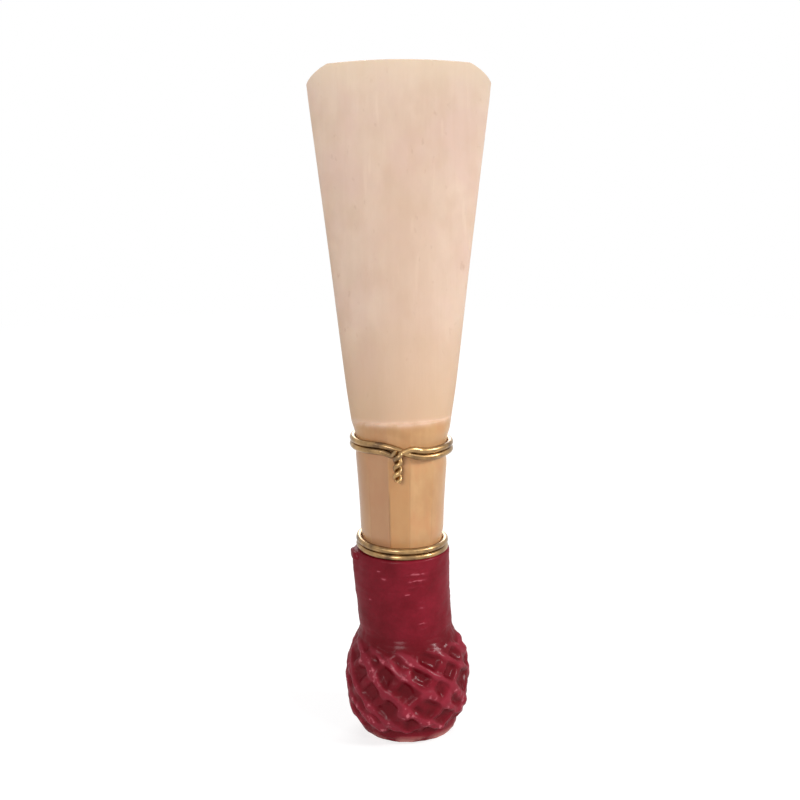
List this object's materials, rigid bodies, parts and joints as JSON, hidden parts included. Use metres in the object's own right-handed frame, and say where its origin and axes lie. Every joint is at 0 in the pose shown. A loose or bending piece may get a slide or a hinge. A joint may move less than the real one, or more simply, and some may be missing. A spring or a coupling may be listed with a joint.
{
  "type": "bassoon reed",
  "caption": "Bassoon reed: thin cane blades fan out from a round tube that brass wires bind, with a crossed thread turban at the butt.",
  "frame": {"origin": "middle of the butt's end face, on which the reed stands, at the bottom of the bounding box", "axes": "+Z from the butt to the tip, +X across the blades, +Y through the tip's thickness; the front, with the first wire's twist, faces -Y"},
  "size_m": [0.0148, 0.011, 0.058],
  "materials": {
    "cane": "scraped pale blades above waxy golden bark",
    "brass_wire": "drawn, slightly tarnished",
    "thread": "crimson thread under clear lacquer"
  },
  "bodies": {
    "root": {"front_cane": "cane", "back_cane": "cane", "first_wire": "brass_wire", "second_wire": "brass_wire", "third_wire": "brass_wire", "turban_core": "thread", "turban_lattice": "thread", "neck_winding": "thread", "finishing_knot": "thread"}
  },
  "joints": []
}
